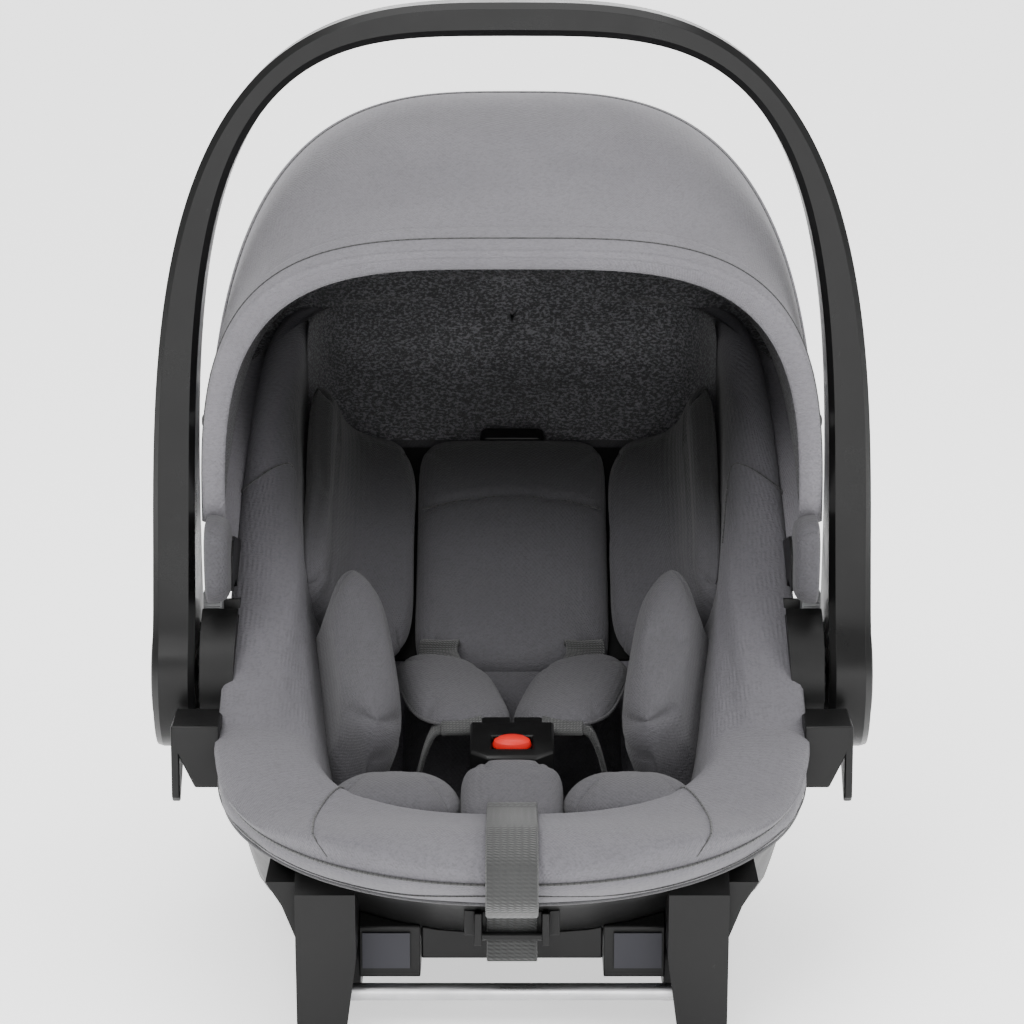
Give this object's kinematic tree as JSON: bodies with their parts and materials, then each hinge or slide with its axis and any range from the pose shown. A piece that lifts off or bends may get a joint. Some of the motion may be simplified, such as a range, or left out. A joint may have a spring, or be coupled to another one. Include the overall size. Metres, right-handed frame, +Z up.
{
  "type": "infant car seat",
  "caption": "Infant carrier with a padded bucket, harness, sliding headrest, folding two-bow canopy, swing handle and rocker rails with steel docking bars.",
  "frame": {"origin": "on the floor, straight below the handle's pivot axis, at the middle of the carrier's plan", "axes": "+X to the right as seen facing the seat, +Y towards the head end, +Z up"},
  "size_m": [0.439, 0.6584, 0.573],
  "materials": {
    "cover_fabric": "soft cool-grey knitted cover fabric",
    "insert_fabric": "darker grey knitted fabric of the headrest insert",
    "shell_plastic": "fine-grained dark grey moulded plastic",
    "handle_plastic": "satin near-black moulded plastic",
    "fitting_plastic": "black moulded fittings",
    "grey_plastic": "light grey buttons",
    "guide_pad_plastic": "dark blue-grey insert",
    "webbing": "ribbed dark grey webbing",
    "steel": "plain steel",
    "red_button": "red release button",
    "foam": "expanded foam liner"
  },
  "bodies": {
    "root": {"shell": "shell_plastic", "foam_liner": "foam", "seat_cover": "cover_fabric", "seat_pad": "cover_fabric", "thigh_pad_left": "cover_fabric", "thigh_pad_right": "cover_fabric", "bolster_left": "cover_fabric", "bolster_right": "cover_fabric", "crotch_strap": "webbing", "crotch_pad": "cover_fabric", "buckle_body": "fitting_plastic", "adjuster_housing": "fitting_plastic", "adjuster_strap": "webbing", "strap_clip": "fitting_plastic", "rail_left": "shell_plastic", "rail_right": "shell_plastic", "front_bar": "steel", "rear_bar": "steel", "guide_block_left": "shell_plastic", "guide_block_right": "shell_plastic", "guide_pad_left": "guide_pad_plastic", "guide_pad_right": "guide_pad_plastic", "cross_member": "shell_plastic", "belt_guide_left": "shell_plastic", "belt_guide_right": "shell_plastic", "rear_belt_guide": "shell_plastic", "hub_boss_left": "handle_plastic", "hub_boss_right": "handle_plastic", "lock_ring_left": "steel", "lock_ring_right": "steel", "pivot_pin_left": "steel", "pivot_pin_right": "steel", "canopy_bracket_left": "handle_plastic", "canopy_bracket_right": "handle_plastic", "canopy_pin_left": "steel", "canopy_pin_right": "steel"},
    "handle": {"handle_bow": "handle_plastic"},
    "handle_button_left": {"handle_button_left": "grey_plastic"},
    "handle_button_right": {"handle_button_right": "grey_plastic"},
    "canopy_mid": {"canopy_mid_bow": "handle_plastic", "canopy_rear_panel": "cover_fabric"},
    "canopy_front": {"canopy_front_bow": "handle_plastic", "canopy_front_panel": "cover_fabric"},
    "headrest": {"headrest_board": "fitting_plastic", "headrest_pad": "insert_fabric", "headrest_wing_left": "insert_fabric", "headrest_wing_right": "insert_fabric"},
    "headrest_latch": {"headrest_latch": "fitting_plastic"},
    "buckle_button": {"buckle_button": "red_button"},
    "tongue_left": {"tongue_left": "fitting_plastic", "shoulder_pad_left": "cover_fabric", "shoulder_strap_left": "webbing", "lap_strap_left": "webbing"},
    "tongue_right": {"tongue_right": "fitting_plastic", "shoulder_pad_right": "cover_fabric", "shoulder_strap_right": "webbing", "lap_strap_right": "webbing"},
    "adjuster_lever": {"adjuster_lever": "grey_plastic"}
  },
  "joints": [
    {"name": "handle_fold", "type": "hinge", "parent": "root", "child": "handle", "pos_m": [0, 0, 0.16], "axis": [-1, 0, 0], "range_deg": [0, 108]},
    {"name": "handle_button_left_press", "type": "slide", "parent": "root", "child": "handle_button_left", "axis": [1, 0, 0], "range_m": [0, 0.003], "stiffness_N_per_m": 600},
    {"name": "handle_button_right_press", "type": "slide", "parent": "root", "child": "handle_button_right", "axis": [-1, 0, 0], "range_m": [0, 0.003], "stiffness_N_per_m": 600},
    {"name": "canopy_fold", "type": "hinge", "parent": "root", "child": "canopy_mid", "pos_m": [0, -0.01, 0.232], "axis": [-1, 0, 0], "range_deg": [0, 30], "deforming": ["canopy_rear_panel", "canopy_front_panel"]},
    {"name": "canopy_front_fold", "type": "hinge", "parent": "canopy_mid", "child": "canopy_front", "pos_m": [0, -0.01, 0.232], "axis": [-1, 0, 0], "range_deg": [0, 30]},
    {"name": "headrest_slide", "type": "slide", "parent": "root", "child": "headrest", "axis": [0, 0.8192, 0.5736], "range_m": [0, 0.05]},
    {"name": "headrest_latch_pull", "type": "slide", "parent": "headrest", "child": "headrest_latch", "axis": [0, 0.8192, 0.5736], "range_m": [0, 0.004], "stiffness_N_per_m": 400},
    {"name": "buckle_press", "type": "slide", "parent": "root", "child": "buckle_button", "axis": [0, 0.2079, -0.9781], "range_m": [0, 0.002], "stiffness_N_per_m": 1500},
    {"name": "tongue_left_pull", "type": "slide", "parent": "root", "child": "tongue_left", "axis": [0, 0.9781, 0.2079], "range_m": [0, 0.016], "deforming": ["shoulder_strap_left", "lap_strap_left"]},
    {"name": "tongue_right_pull", "type": "slide", "parent": "root", "child": "tongue_right", "axis": [0, 0.9781, 0.2079], "range_m": [0, 0.016], "deforming": ["shoulder_strap_right", "lap_strap_right"]},
    {"name": "adjuster_press", "type": "hinge", "parent": "root", "child": "adjuster_lever", "pos_m": [0, -0.2045, 0.124], "axis": [-1, 0, 0], "range_deg": [0, 16], "stiffness_Nm_per_rad": 0.4}
  ],
  "couplings": [
    {"joint": "canopy_front_fold", "follows": "canopy_fold", "ratio": 1}
  ]
}
